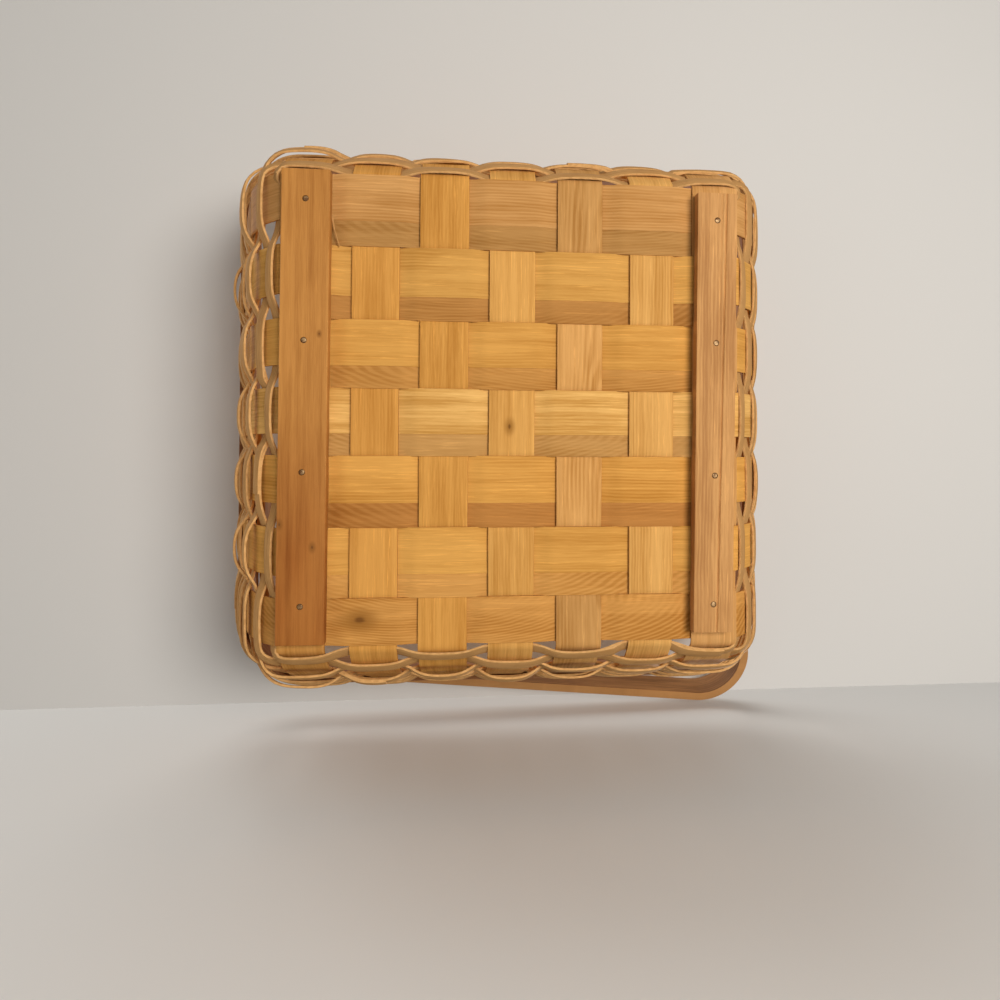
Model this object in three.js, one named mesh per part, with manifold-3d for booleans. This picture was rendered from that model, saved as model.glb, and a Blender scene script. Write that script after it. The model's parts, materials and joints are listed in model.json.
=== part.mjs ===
import * as THREE from 'three';
import { mergeVertices } from 'three/addons/utils/BufferGeometryUtils.js';
import Module from 'manifold-3d';

// Square woven wood basket with a swing handle, standing on two runners.
// Millimetres, +Z up. The pieces are placed from the middle of the base, on the surface it stands on.
// At the end the whole is moved so that the origin lies under the middle of its outline, handle and all.
// Stakes run along Y and cross splints run along X; both turn up and become the side walls.

// Spaces between pieces
const seatGap = 0.3;
const pivotGap = 0.5;

// Splints of the base
const crossings = 7;
const splintPitch = 31.8;
const splintThickness = 1.2;
const stakeWidth = 22;
const crossWidth = 21.2;
const fillerWidth = 7.5;
const fillerOverhang = 8;
const stakeStep = 1.8;
const edgeMargin = 1.4;

// Side walls
const bendRadius = 8.5;
const wallFlare = THREE.MathUtils.degToRad(19.4);
const wallRise = 86.4;
const weaverHeight = 6.6;
const weaverThickness = 1.2;
const weaverGap = 0.8;
const weaverBulge = 2.45;
const weaverFlat = 9.6;
const firstWeaverTurn = THREE.MathUtils.degToRad(40);
const cornerSteps = 3;

// Rim
const rimHeight = 20;
const outerRimThickness = 2.4;
const innerRimThickness = 2;
const stakeBelowRimTop = 1;

// Runners under the base: +X side, then -X side
const runnerThickness = 6;
const runnerChamfer = 0.8;
const runners = {
  right: { x: 92.8, y: 2.7, width: 21, length: 210, tilt: 0.3, nailsAt: [94.4, 31.8, -26.4, -85.3] },
  left: { x: -93.8, y: 2, width: 18.5, length: 204, tilt: 0.5, nailsAt: [91.2, 34, -27.6, -87.1] },
};

// Nails
const nailShank = 0.8;
const nailHead = 1.5;
const nailHeadThickness = 0.5;
const nailSink = 0.2;
const nailSides = 6;
const rimNailStakes = [2, 6];

// Handle and its pivots
const handleWidth = 19;
const handleThickness = 5;
const handleReachRight = 152;
const handleReachLeft = 182;
const handleCorner = 27;
const handleSpread = 34;
const spreadRadius = 70;
const handleStraight = 95;
const spreadMargin = 10;
const rivetShank = 2;
const rivetHead = 4.5;
const rivetHeadHeight = 1.6;
const rivetHeadEdge = 0.5;
const rivetCrown = 2.7;
const rivetSides = 12;
const washerRadius = 6;
const washerThickness = 1;

// Steps of the round stretches, and how far a cutter runs past what it cuts
const bendSteps = 4;
const handleCornerSteps = 8;
const spreadSteps = 2;
const rimCornerSteps = 6;
const cutterMargin = 5;
const mergeTolerance = 1e-4;

// Finishes
const finishes = {
  stake: { color: 0xd6a258, roughness: 0.55, metalness: 0 },
  cross: { color: 0xdba85e, roughness: 0.55, metalness: 0 },
  filler: { color: 0xb9875a, roughness: 0.6, metalness: 0 },
  weaver: { color: 0xc8a073, roughness: 0.65, metalness: 0 },
  rim: { color: 0xa9794f, roughness: 0.6, metalness: 0 },
  handle: { color: 0xb98a5a, roughness: 0.5, metalness: 0 },
  runner: { color: 0xc58a48, roughness: 0.5, metalness: 0 },
  nail: { color: 0x8d7a5c, roughness: 0.4, metalness: 0.8 },
  rivet: { color: 0xa88a4a, roughness: 0.35, metalness: 0.9 },
};

// Levels and widths that follow from the sizes above
const layerStep = (splintThickness + seatGap) / 2;
const baseLevel = runnerThickness + seatGap + splintThickness / 2 + layerStep;
const rimBottom = baseLevel + wallRise;
const rimTop = rimBottom + rimHeight;
const pivotLevel = rimBottom + rimHeight / 2;
const outerStake = ((crossings - 1) / 2) * splintPitch;
const stakeZone = outerStake + Math.max(stakeWidth, crossWidth) / 2;
const bendTangent = bendRadius * Math.tan((Math.PI / 2 - wallFlare) / 2);
const baseCorner = stakeZone + edgeMargin + bendTangent;
const rimStake = baseCorner + wallRise * Math.tan(wallFlare);
const outerRimInside = rimStake + splintThickness / 2 + seatGap;
const outerRimOutside = outerRimInside + outerRimThickness;
const innerRimOutside = rimStake - splintThickness / 2 - seatGap;
const innerRimInside = innerRimOutside - innerRimThickness;
const cornerZone = stakeZone + seatGap;
const legOutside = innerRimInside - pivotGap;
const legMiddle = legOutside - handleThickness / 2;
const legInside = legOutside - handleThickness;

const wasm = await Module();
wasm.setup();

const basket = new THREE.Group();

function addPiece(name, finish, geometry) {
  const mesh = new THREE.Mesh(geometry, new THREE.MeshStandardMaterial(finishes[finish]));
  mesh.name = name;
  basket.add(mesh);
  return mesh;
}

// The place of crossing 1 to 7, counted from the +X or the +Y side
function crossingAt(index) {
  return outerStake - (index - 1) * splintPitch;
}

// Solids for joining and cutting

function toSolid(geometry) {
  const bare = geometry.clone();
  bare.deleteAttribute('normal');
  bare.deleteAttribute('uv');
  const merged = mergeVertices(bare, mergeTolerance);
  const mesh = new wasm.Mesh({
    numProp: 3,
    vertProperties: new Float32Array(merged.attributes.position.array),
    triVerts: new Uint32Array(merged.index.array),
  });
  return new wasm.Manifold(mesh);
}

function toGeometry(solid) {
  const mesh = solid.getMesh();
  const geometry = new THREE.BufferGeometry();
  geometry.setAttribute('position', new THREE.BufferAttribute(mesh.vertProperties, 3));
  geometry.setIndex(new THREE.BufferAttribute(mesh.triVerts, 1));
  geometry.computeVertexNormals();
  return geometry;
}

function cutAway(geometry, cutters) {
  let solid = toSolid(geometry);
  for (const cutter of cutters) {
    solid = solid.subtract(toSolid(cutter));
  }
  return toGeometry(solid);
}

// Bent strips

// A path through corner points, each turned with its own radius
function filletedPath(corners) {
  const path = [];
  corners.forEach(({ at, radius = 0, steps = bendSteps }, i) => {
    if (radius === 0) {
      path.push(at.clone());
      return;
    }
    const back = corners[i - 1].at.clone().sub(at).normalize();
    const ahead = corners[i + 1].at.clone().sub(at).normalize();
    const half = Math.acos(THREE.MathUtils.clamp(back.dot(ahead), -1, 1)) / 2;
    const middle = back.clone().add(ahead).normalize();
    const centre = at.clone().addScaledVector(middle, radius / Math.sin(half));
    const from = at.clone().addScaledVector(back, radius / Math.tan(half)).sub(centre);
    const turn = (Math.PI - 2 * half) * Math.sign(back.cross(ahead)) * -1;
    for (let k = 0; k <= steps; k += 1) {
      const point = from.clone().rotateAround(new THREE.Vector2(), (turn * k) / steps);
      path.push(point.add(centre));
    }
  });
  return path;
}

// The closed outline of a strip of even thickness along a path
function stripShape(path, thickness) {
  const leftSide = [];
  const rightSide = [];
  const normals = path.slice(1).map((point, i) => {
    const along = point.clone().sub(path[i]).normalize();
    return new THREE.Vector2(-along.y, along.x);
  });
  path.forEach((point, i) => {
    const before = normals[Math.max(i - 1, 0)];
    const after = normals[Math.min(i, normals.length - 1)];
    const mitre = before.clone().add(after).normalize();
    const reach = thickness / 2 / mitre.dot(before);
    leftSide.push(point.clone().addScaledVector(mitre, reach));
    rightSide.push(point.clone().addScaledVector(mitre, -reach));
  });
  return new THREE.Shape([...rightSide, ...leftSide.reverse()]);
}

function extrudeCentred(shape, depth) {
  const options = { depth, bevelEnabled: false, curveSegments: rimCornerSteps };
  const geometry = new THREE.ExtrudeGeometry(shape, options);
  return geometry.translate(0, 0, -depth / 2);
}

const alongY = new THREE.Matrix4().makeBasis(
  new THREE.Vector3(0, 1, 0), new THREE.Vector3(0, 0, 1), new THREE.Vector3(1, 0, 0));
const alongX = new THREE.Matrix4().makeBasis(
  new THREE.Vector3(1, 0, 0), new THREE.Vector3(0, 0, 1), new THREE.Vector3(0, -1, 0));

// One wall's share of a splint, from the end of the base weave to the rim
function wallCorners(side) {
  return [
    { at: new THREE.Vector2(side * (stakeZone + edgeMargin / 2), baseLevel) },
    { at: new THREE.Vector2(side * baseCorner, baseLevel), radius: bendRadius },
    { at: new THREE.Vector2(side * rimStake, rimBottom) },
    { at: new THREE.Vector2(side * rimStake, rimTop - stakeBelowRimTop) },
  ];
}

// A splint from rim to rim: its base weaves through flats, each {from, to, level}
function wovenStrip(flats) {
  const corners = [...wallCorners(-1).reverse()];
  for (const flat of flats) {
    const level = baseLevel + flat.level * layerStep;
    corners.push({ at: new THREE.Vector2(flat.from, level) });
    corners.push({ at: new THREE.Vector2(flat.to, level) });
  }
  corners.push(...wallCorners(1));
  return stripShape(filletedPath(corners), splintThickness);
}

// Which of the two crosses below: -1 below, 1 above
function stakeLevel(stake, cross) {
  return (stake + cross) % 2 === 0 ? -1 : 1;
}

// Cutters for nails and rivets

function rod(radius, from, to, sides) {
  const along = to.clone().sub(from);
  const geometry = new THREE.CylinderGeometry(radius, radius, along.length(), sides);
  const turn = new THREE.Quaternion().setFromUnitVectors(new THREE.Vector3(0, 1, 0), along.normalize());
  geometry.applyQuaternion(turn);
  const middle = from.clone().add(to).multiplyScalar(0.5);
  return geometry.translate(middle.x, middle.y, middle.z);
}

function runnerNailPlaces(runner) {
  const slope = Math.tan(THREE.MathUtils.degToRad(runner.tilt));
  return runner.nailsAt.map((y) => new THREE.Vector3(runner.x - (y - runner.y) * slope, y, 0));
}

const nailHole = nailShank + seatGap;
const nailHeadHole = nailHead + seatGap;
const rivetHole = rivetShank + seatGap;
const nailPlaces = [...runnerNailPlaces(runners.right), ...runnerNailPlaces(runners.left)];
const baseNailCutters = nailPlaces.map(({ x, y }) => {
  const top = baseLevel + layerStep + splintThickness / 2 + cutterMargin;
  return rod(nailHole, new THREE.Vector3(x, y, -cutterMargin), new THREE.Vector3(x, y, top), nailSides);
});

// Rim nails: two on each side, through the rims and the second and sixth splint
const rimNailPlaces = [];
for (const index of rimNailStakes) {
  for (const side of [-1, 1]) {
    rimNailPlaces.push({ axis: 'x', side, across: crossingAt(index), index });
    rimNailPlaces.push({ axis: 'y', side, across: crossingAt(index), index });
  }
}

function rimPoint({ axis, side, across }, distance) {
  const along = side * distance;
  return axis === 'x'
    ? new THREE.Vector3(along, across, pivotLevel)
    : new THREE.Vector3(across, along, pivotLevel);
}

const rimCutterFrom = innerRimInside - cutterMargin;
const rimCutterTo = outerRimOutside + cutterMargin;
const rimNailCutters = rimNailPlaces.map((place) => rod(
  nailHole, rimPoint(place, rimCutterFrom), rimPoint(place, rimCutterTo), nailSides));
const rivetPlaces = [{ axis: 'x', side: 1, across: 0 }, { axis: 'x', side: -1, across: 0 }];
const rivetCutters = rivetPlaces.map((place) => rod(
  rivetHole, rimPoint(place, rimCutterFrom), rimPoint(place, rimCutterTo), rivetSides));

// Only the cutters that reach the piece are used
function cutWhereReached(geometry, cutters) {
  geometry.computeBoundingBox();
  const reached = cutters.filter((cutter) => {
    cutter.computeBoundingBox();
    return cutter.boundingBox.intersectsBox(geometry.boundingBox);
  });
  return cutAway(geometry, reached);
}

const splintCutters = [...baseNailCutters, ...rimNailCutters, ...rivetCutters];

// Stakes: seven wide splints along Y
for (let stake = 1; stake <= crossings; stake += 1) {
  const flats = [];
  for (let cross = crossings; cross >= 1; cross -= 1) {
    const y = crossingAt(cross);
    const fillerBelow = cross < crossings ? seatGap + fillerWidth : 0;
    const spare = splintPitch - crossWidth - seatGap - fillerWidth;
    const fromGap = cross < crossings ? (spare - stakeStep) / 2 : 0;
    const toGap = cross > 1 ? (spare - stakeStep) / 2 : 0;
    flats.push({
      from: y - crossWidth / 2 - fillerBelow - fromGap,
      to: y + crossWidth / 2 + toGap,
      level: stakeLevel(stake, cross),
    });
  }
  const geometry = extrudeCentred(wovenStrip(flats), stakeWidth).applyMatrix4(alongY);
  geometry.translate(crossingAt(stake), 0, 0);
  addPiece(`stake_${stake}`, 'stake', cutWhereReached(geometry, splintCutters));
}

// Cross splints: seven wide splints along X
for (let cross = 1; cross <= crossings; cross += 1) {
  const flats = [];
  for (let stake = crossings; stake >= 1; stake -= 1) {
    const x = crossingAt(stake);
    flats.push({ from: x - stakeWidth / 2, to: x + stakeWidth / 2, level: -stakeLevel(stake, cross) });
  }
  const geometry = extrudeCentred(wovenStrip(flats), crossWidth).applyMatrix4(alongX);
  geometry.translate(0, crossingAt(cross), 0);
  addPiece(`cross_splint_${cross}`, 'cross', cutWhereReached(geometry, splintCutters));
}

// Fillers: six narrow strips, each beside a cross splint and woven as it is
for (let cross = 1; cross < crossings; cross += 1) {
  const corners = [];
  for (let stake = crossings; stake >= 1; stake -= 1) {
    const x = crossingAt(stake);
    const level = baseLevel - stakeLevel(stake, cross) * layerStep;
    const from = stake === crossings ? x - fillerOverhang : x - stakeWidth / 2;
    const to = stake === 1 ? x + fillerOverhang : x + stakeWidth / 2;
    corners.push({ at: new THREE.Vector2(from, level) });
    corners.push({ at: new THREE.Vector2(to, level) });
  }
  const shape = stripShape(filletedPath(corners), splintThickness);
  const geometry = extrudeCentred(shape, fillerWidth).applyMatrix4(alongX);
  const y = crossingAt(cross) - crossWidth / 2 - seatGap - fillerWidth / 2;
  geometry.translate(0, y, 0);
  addPiece(`filler_${cross}`, 'filler', geometry);
}

// Wall height along the slope, for the weavers: half size, level and slope at a length from the bend
const bendTurn = Math.PI / 2 - wallFlare;
const bendLength = bendRadius * bendTurn;
const straightLength = wallRise / Math.cos(wallFlare) - bendTangent;

function wallAt(length) {
  if (length < bendLength) {
    const turned = length / bendRadius;
    return {
      half: stakeZone + edgeMargin + bendRadius * Math.sin(turned),
      level: baseLevel + bendRadius * (1 - Math.cos(turned)),
      slope: turned,
    };
  }
  const further = bendTangent + length - bendLength;
  return {
    half: baseCorner + further * Math.sin(wallFlare),
    level: baseLevel + further * Math.cos(wallFlare),
    slope: bendTurn,
  };
}

// The stations of one weaver: where it passes each splint and turns each corner
// over is 1 where it passes outside the first splint of a Y wall, and -1 where it passes inside
function weaverStations(half, over) {
  const stations = [];
  const cornerRadius = half - cornerZone;
  const lastFlat = outerStake + weaverFlat;
  const cornerLength = (cornerRadius * Math.PI) / 2 + 2 * (cornerZone - lastFlat);
  for (let side = 0; side < 4; side += 1) {
    const turn = (side * Math.PI) / 2;
    const first = side % 2 === 0 ? over : -over;
    const place = (x, y, normalX, normalY, offset) => {
      const at = new THREE.Vector2(x, y).rotateAround(new THREE.Vector2(), turn);
      const normal = new THREE.Vector2(normalX, normalY).rotateAround(new THREE.Vector2(), turn);
      stations.push({ at, normal, offset: offset * weaverBulge });
    };
    for (let index = 0; index < crossings; index += 1) {
      const x = -outerStake + index * splintPitch;
      const offset = index % 2 === 0 ? first : -first;
      place(x - weaverFlat, -half, 0, -1, offset);
      place(x + weaverFlat, -half, 0, -1, offset);
    }
    for (let step = 0; step <= cornerSteps; step += 1) {
      const angle = (step / cornerSteps) * (Math.PI / 2);
      const passed = cornerZone - lastFlat + cornerRadius * angle;
      const offset = first * (1 - (2 * passed) / cornerLength);
      const normalX = Math.sin(angle);
      const normalY = -Math.cos(angle);
      const x = cornerZone + cornerRadius * normalX;
      const y = -cornerZone + cornerRadius * normalY;
      place(x, y, normalX, normalY, offset);
    }
  }
  return stations;
}

// A closed ring of a flat strip that stands along the slope of the wall
function weaverRing(half, level, slope, over) {
  const outX = Math.sin(slope);
  const outZ = -Math.cos(slope);
  const upX = Math.cos(slope);
  const upZ = Math.sin(slope);
  const positions = [];
  const corners = [[1, -1], [1, 1], [-1, 1], [-1, -1]];
  const stations = weaverStations(half, over);
  for (const { at, normal, offset } of stations) {
    for (const [out, up] of corners) {
      const away = offset + (out * weaverThickness) / 2;
      const rise = (up * weaverHeight) / 2;
      const shift = away * outX + rise * upX;
      positions.push(at.x + normal.x * shift, at.y + normal.y * shift, level + away * outZ + rise * upZ);
    }
  }
  const index = [];
  const count = stations.length;
  for (let i = 0; i < count; i += 1) {
    const here = 4 * i;
    const next = 4 * ((i + 1) % count);
    for (let k = 0; k < 4; k += 1) {
      const l = (k + 1) % 4;
      index.push(here + k, next + k, next + l, here + k, next + l, here + l);
    }
  }
  const geometry = new THREE.BufferGeometry();
  geometry.setAttribute('position', new THREE.Float32BufferAttribute(positions, 3));
  geometry.setIndex(index);
  geometry.computeVertexNormals();
  return geometry;
}

// Weavers: closed rings round the walls, each passing outside every other splint
const firstWeaver = bendRadius * firstWeaverTurn;
const weaverReach = (weaverBulge + weaverThickness / 2) * Math.tan(wallFlare);
const lastWeaver = bendLength + straightLength - weaverReach - weaverGap - weaverHeight / 2;
const weaverCount = 1 + Math.floor((lastWeaver - firstWeaver) / (weaverHeight + weaverGap));
const weaverPitch = (lastWeaver - firstWeaver) / (weaverCount - 1);
for (let row = 0; row < weaverCount; row += 1) {
  const { half, level, slope } = wallAt(firstWeaver + row * weaverPitch);
  const over = row % 2 === 0 ? 1 : -1;
  const number = String(row + 1).padStart(2, '0');
  addPiece(`weaver_${number}`, 'weaver', weaverRing(half, level, slope, over));
}

// Rims: an outer and an inner hoop that clamp the ends of the splints

function roundedSquare(path, half) {
  const radius = half - cornerZone;
  const flat = cornerZone;
  path.moveTo(half, -flat);
  path.lineTo(half, flat);
  path.absarc(flat, flat, radius, 0, Math.PI / 2, false);
  path.lineTo(-flat, half);
  path.absarc(-flat, flat, radius, Math.PI / 2, Math.PI, false);
  path.lineTo(-half, -flat);
  path.absarc(-flat, -flat, radius, Math.PI, 1.5 * Math.PI, false);
  path.lineTo(flat, -half);
  path.absarc(flat, -flat, radius, 1.5 * Math.PI, 2 * Math.PI, false);
  return path;
}

function hoop(outside, inside) {
  const shape = roundedSquare(new THREE.Shape(), outside);
  shape.holes.push(roundedSquare(new THREE.Path(), inside));
  const geometry = extrudeCentred(shape, rimHeight);
  return geometry.translate(0, 0, pivotLevel);
}

const rimCutters = [...rimNailCutters, ...rivetCutters];
addPiece('outer_rim', 'rim', cutAway(hoop(outerRimOutside, outerRimInside), rimCutters));
addPiece('inner_rim', 'rim', cutAway(hoop(innerRimOutside, innerRimInside), rimCutters));

// Nails: a flat head and a shank, drawn head down with the head's face at zero

function nailGeometry(length) {
  const points = [
    new THREE.Vector2(0, 0),
    new THREE.Vector2(nailHead, 0),
    new THREE.Vector2(nailHead, nailHeadThickness),
    new THREE.Vector2(nailShank, nailHeadThickness),
    new THREE.Vector2(nailShank, length),
    new THREE.Vector2(0, length),
  ];
  const geometry = new THREE.LatheGeometry(points, nailSides);
  return geometry.rotateX(Math.PI / 2);
}

// Runners: a chamfered bar across the stakes' outer columns, each held by four nails
for (const [side, runner] of Object.entries(runners)) {
  const wide = runner.width / 2;
  const tall = runnerThickness / 2;
  const cut = runnerChamfer;
  const section = new THREE.Shape([
    new THREE.Vector2(-wide + cut, -tall),
    new THREE.Vector2(wide - cut, -tall),
    new THREE.Vector2(wide, -tall + cut),
    new THREE.Vector2(wide, tall),
    new THREE.Vector2(-wide, tall),
    new THREE.Vector2(-wide, -tall + cut),
  ]);
  const bar = extrudeCentred(section, runner.length).rotateX(Math.PI / 2);
  bar.rotateZ(THREE.MathUtils.degToRad(runner.tilt));
  bar.translate(runner.x, runner.y, tall);
  const places = runnerNailPlaces(runner);
  const headDepth = nailSink + nailHeadThickness + seatGap;
  const headCutters = places.map(({ x, y }) => rod(
    nailHeadHole, new THREE.Vector3(x, y, -cutterMargin), new THREE.Vector3(x, y, headDepth), nailSides));
  addPiece(`runner_${side}`, 'runner', cutWhereReached(bar, [...headCutters, ...baseNailCutters]));
  const nailLength = baseLevel + layerStep + splintThickness / 2 - nailSink;
  places.forEach(({ x, y }, i) => {
    const nail = addPiece(`runner_nail_${side}_${i + 1}`, 'nail', nailGeometry(nailLength));
    nail.position.set(x, y, nailSink);
  });
}

// Rim nails: heads on the outer rim, points flush with the inner rim
const wallNames = { x: { 1: 'right', '-1': 'left' }, y: { 1: 'back', '-1': 'front' } };
const rimNailLength = outerRimOutside + seatGap + nailHeadThickness - innerRimInside;
rimNailPlaces.forEach((place) => {
  const wall = wallNames[place.axis][place.side];
  const nail = addPiece(`rim_nail_${wall}_${place.index}`, 'nail', nailGeometry(rimNailLength));
  nail.position.copy(rimPoint(place, outerRimOutside + seatGap + nailHeadThickness));
  const inward = rimPoint(place, 0).sub(rimPoint(place, 1));
  nail.quaternion.setFromUnitVectors(new THREE.Vector3(0, 0, 1), inward);
});

// Pivots: a rivet through both rims and the handle's leg, with a washer under its inner head
const washerOuterFace = legInside - seatGap;
const washerInnerFace = washerOuterFace - washerThickness;
const rivetInnerFace = washerInnerFace - seatGap;
const rivetOuterFace = outerRimOutside + seatGap;
for (const place of rivetPlaces) {
  const side = place.side > 0 ? 'right' : 'left';
  const rivetPoints = [
    new THREE.Vector2(0, rivetInnerFace - rivetHeadHeight),
    new THREE.Vector2(rivetCrown, rivetInnerFace - rivetHeadHeight),
    new THREE.Vector2(rivetHead, rivetInnerFace - rivetHeadEdge),
    new THREE.Vector2(rivetHead, rivetInnerFace),
    new THREE.Vector2(rivetShank, rivetInnerFace),
    new THREE.Vector2(rivetShank, rivetOuterFace),
    new THREE.Vector2(rivetHead, rivetOuterFace),
    new THREE.Vector2(rivetHead, rivetOuterFace + rivetHeadEdge),
    new THREE.Vector2(rivetCrown, rivetOuterFace + rivetHeadHeight),
    new THREE.Vector2(0, rivetOuterFace + rivetHeadHeight),
  ];
  const rivet = addPiece(`rivet_${side}`, 'rivet', new THREE.LatheGeometry(rivetPoints, rivetSides));
  rivet.rotation.z = -place.side * (Math.PI / 2);
  rivet.position.z = pivotLevel;
  const washerPoints = [
    new THREE.Vector2(rivetHole, washerInnerFace),
    new THREE.Vector2(washerRadius, washerInnerFace),
    new THREE.Vector2(washerRadius, washerOuterFace),
    new THREE.Vector2(rivetHole, washerOuterFace),
    new THREE.Vector2(rivetHole, washerInnerFace),
  ];
  const washer = addPiece(`washer_${side}`, 'rivet', new THREE.LatheGeometry(washerPoints, rivetSides));
  washer.rotation.z = -place.side * (Math.PI / 2);
  washer.position.z = pivotLevel;
}

// Handle: a strip bent to a square U, pivoted inside the rim and laid down towards -Y
// Its -X leg is the longer one, and spreads past the rim, so the crosspiece lies aslant
// It rests with its lower edge just above the top of the rim, where its leg first passes over the rim
const rimCornerCross = cornerZone + Math.sqrt(
  (innerRimInside - cornerZone) ** 2 - (legOutside - cornerZone) ** 2);
const rimAbovePivot = rimTop - pivotLevel + seatGap;
const rimCross = Math.min(rimCornerCross, handleStraight);
const restReach = Math.hypot(rimCross, rimAbovePivot);
const handleRest = Math.atan2(rimAbovePivot, rimCross) + Math.asin(handleWidth / 2 / restReach);

function handleGeometry() {
  const endReach = handleWidth / 2;
  const middleRight = handleReachRight - handleThickness / 2;
  const middleLeft = handleReachLeft - handleThickness / 2;
  const pastRim = rimCross / Math.cos(handleRest) + spreadMargin;
  const path = filletedPath([
    { at: new THREE.Vector2(legMiddle, -endReach) },
    { at: new THREE.Vector2(legMiddle, middleRight), radius: handleCorner, steps: handleCornerSteps },
    {
      at: new THREE.Vector2(-legMiddle - handleSpread, middleLeft),
      radius: handleCorner,
      steps: handleCornerSteps,
    },
    { at: new THREE.Vector2(-legMiddle, pastRim), radius: spreadRadius, steps: spreadSteps },
    { at: new THREE.Vector2(-legMiddle, -endReach) },
  ]);
  const strip = extrudeCentred(stripShape(path, handleThickness), handleWidth);
  const far = handleReachLeft + handleCorner;
  const roundEnds = new THREE.Shape();
  roundEnds.moveTo(0, -endReach);
  roundEnds.lineTo(far, -endReach);
  roundEnds.lineTo(far, endReach);
  roundEnds.lineTo(0, endReach);
  roundEnds.absarc(0, 0, endReach, Math.PI / 2, 1.5 * Math.PI, false);
  const halfSpan = legOutside + handleSpread + cutterMargin;
  const envelope = extrudeCentred(roundEnds, 2 * halfSpan).applyMatrix4(alongY);
  const shaped = toSolid(strip).intersect(toSolid(envelope));
  const bore = rod(
    rivetHole, new THREE.Vector3(-halfSpan, 0, 0), new THREE.Vector3(halfSpan, 0, 0), rivetSides);
  return toGeometry(shaped.subtract(toSolid(bore)));
}

const handle = addPiece('handle', 'handle', handleGeometry());
handle.rotation.x = Math.PI - handleRest;
handle.position.z = pivotLevel;

const outline = new THREE.Box3().setFromObject(basket, true);
const outlineMiddle = outline.getCenter(new THREE.Vector3());
basket.position.set(-outlineMiddle.x, -outlineMiddle.y, 0);

export default basket;
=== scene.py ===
import json
import math

import bpy
import numpy as np
from mathutils import Matrix, Vector, noise


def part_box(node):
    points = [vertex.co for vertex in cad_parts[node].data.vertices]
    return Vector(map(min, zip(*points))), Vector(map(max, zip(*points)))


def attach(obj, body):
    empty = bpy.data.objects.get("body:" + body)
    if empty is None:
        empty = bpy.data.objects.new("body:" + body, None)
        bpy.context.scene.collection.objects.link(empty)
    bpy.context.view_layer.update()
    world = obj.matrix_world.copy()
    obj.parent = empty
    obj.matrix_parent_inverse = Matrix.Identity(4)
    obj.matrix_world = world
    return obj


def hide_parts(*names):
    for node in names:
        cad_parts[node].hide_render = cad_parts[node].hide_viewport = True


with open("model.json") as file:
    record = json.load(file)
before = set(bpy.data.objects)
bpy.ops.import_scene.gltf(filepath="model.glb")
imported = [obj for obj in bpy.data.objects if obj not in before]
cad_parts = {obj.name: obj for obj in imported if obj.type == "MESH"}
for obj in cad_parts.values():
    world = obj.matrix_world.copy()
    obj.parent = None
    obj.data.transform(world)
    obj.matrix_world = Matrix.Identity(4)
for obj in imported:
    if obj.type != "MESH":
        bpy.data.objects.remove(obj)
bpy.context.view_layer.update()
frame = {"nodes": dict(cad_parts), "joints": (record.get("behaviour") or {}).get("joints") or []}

# Stakes: seven wide flat wood splints that lie along Y in the base and turn up into two of the walls.
# Each is one thin strip of golden wood, woven over and under the cross splints, with its ends inside the rim.

mm = 0.001
swing = frame["joints"][0]
middle = Vector((swing["pos_m"][0], swing["pos_m"][1], 0))
crossings = 7


def middle_of(node):
    low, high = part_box(node)
    return (low + high) / 2 - middle


def size_of(node):
    low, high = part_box(node)
    return high - low


splint_pitch = middle_of("stake_1").x - middle_of("stake_2").x
stake_width = size_of("stake_1").x
cross_width = size_of("cross_splint_1").y
splint_thickness = 1.1 * mm
touch_gap = 0.3 * mm
base_level = sum(corner.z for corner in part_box("filler_1")) / 2
layer_step = 0.72 * mm
outer_splint = (crossings - 1) / 2 * splint_pitch

rim_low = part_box("outer_rim")[0].z
splint_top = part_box("stake_1")[1].z
splint_inside_rim = 3.3 * mm
rim_splint = size_of("outer_rim").x / 2 - splint_inside_rim
base_edge = outer_splint + stake_width / 2 + touch_gap
path_step = 1.4 * mm

# How far each splint lies off its even place and how much wider it is, both in mm
stake_fit = {1: (-1.2, -1.0), 2: (-1.1, -0.6), 3: (-0.3, 0.2), 4: (0.4, -0.9), 5: (0.8, -0.9),
             6: (-1.4, -1.1), 7: (0, 0)}
cross_fit = {1: (2.4, 0.2), 2: (1.0, 1.4), 3: (0.3, 0), 4: (1.2, -0.3), 5: (2.1, 0.4),
             6: (1.5, 0.2), 7: (1.6, 0.2)}

# How far the foot of two of the walls lies off its even place, and the height over which that fades
foot_shift = {"right": -1.5 * mm, "back": 2.2 * mm}
shift_fades = 30 * mm


def wall_outline(shift=0):
    """A wall from the base up, as (half size, level, radius of the bend there)."""
    outline = [
        (base_edge, base_level, 4 * mm),
        (base_edge + 10.5 * mm, 19 * mm, 12 * mm),
        (base_edge + 18.0 * mm, 35 * mm, 40 * mm),
        (rim_splint, rim_low, 14 * mm),
        (rim_splint, splint_top, 0),
    ]
    return [(half + shift * foot_share(level), level, radius) for half, level, radius in outline]


def foot_share(level):
    """How much of its foot's shift a wall still has at a level."""
    return 1 - ease((level - base_level) / shift_fades)


stake_turn = 3.0 * mm
cross_turn = 9.0 * mm
weave_end = outer_splint + stake_width / 2 + 2.5 * mm


def splint_at(index, fit):
    """The place of a splint's middle line across the base."""
    return outer_splint - (index - 1) * splint_pitch + fit[index][0] * mm


def row_edge(cross, side):
    """The place of a cross splint's edge on its +Y side (1) or -Y side (-1)."""
    return splint_at(cross, cross_fit) + side * (cross_width + cross_fit[cross][1] * mm) / 2


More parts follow.
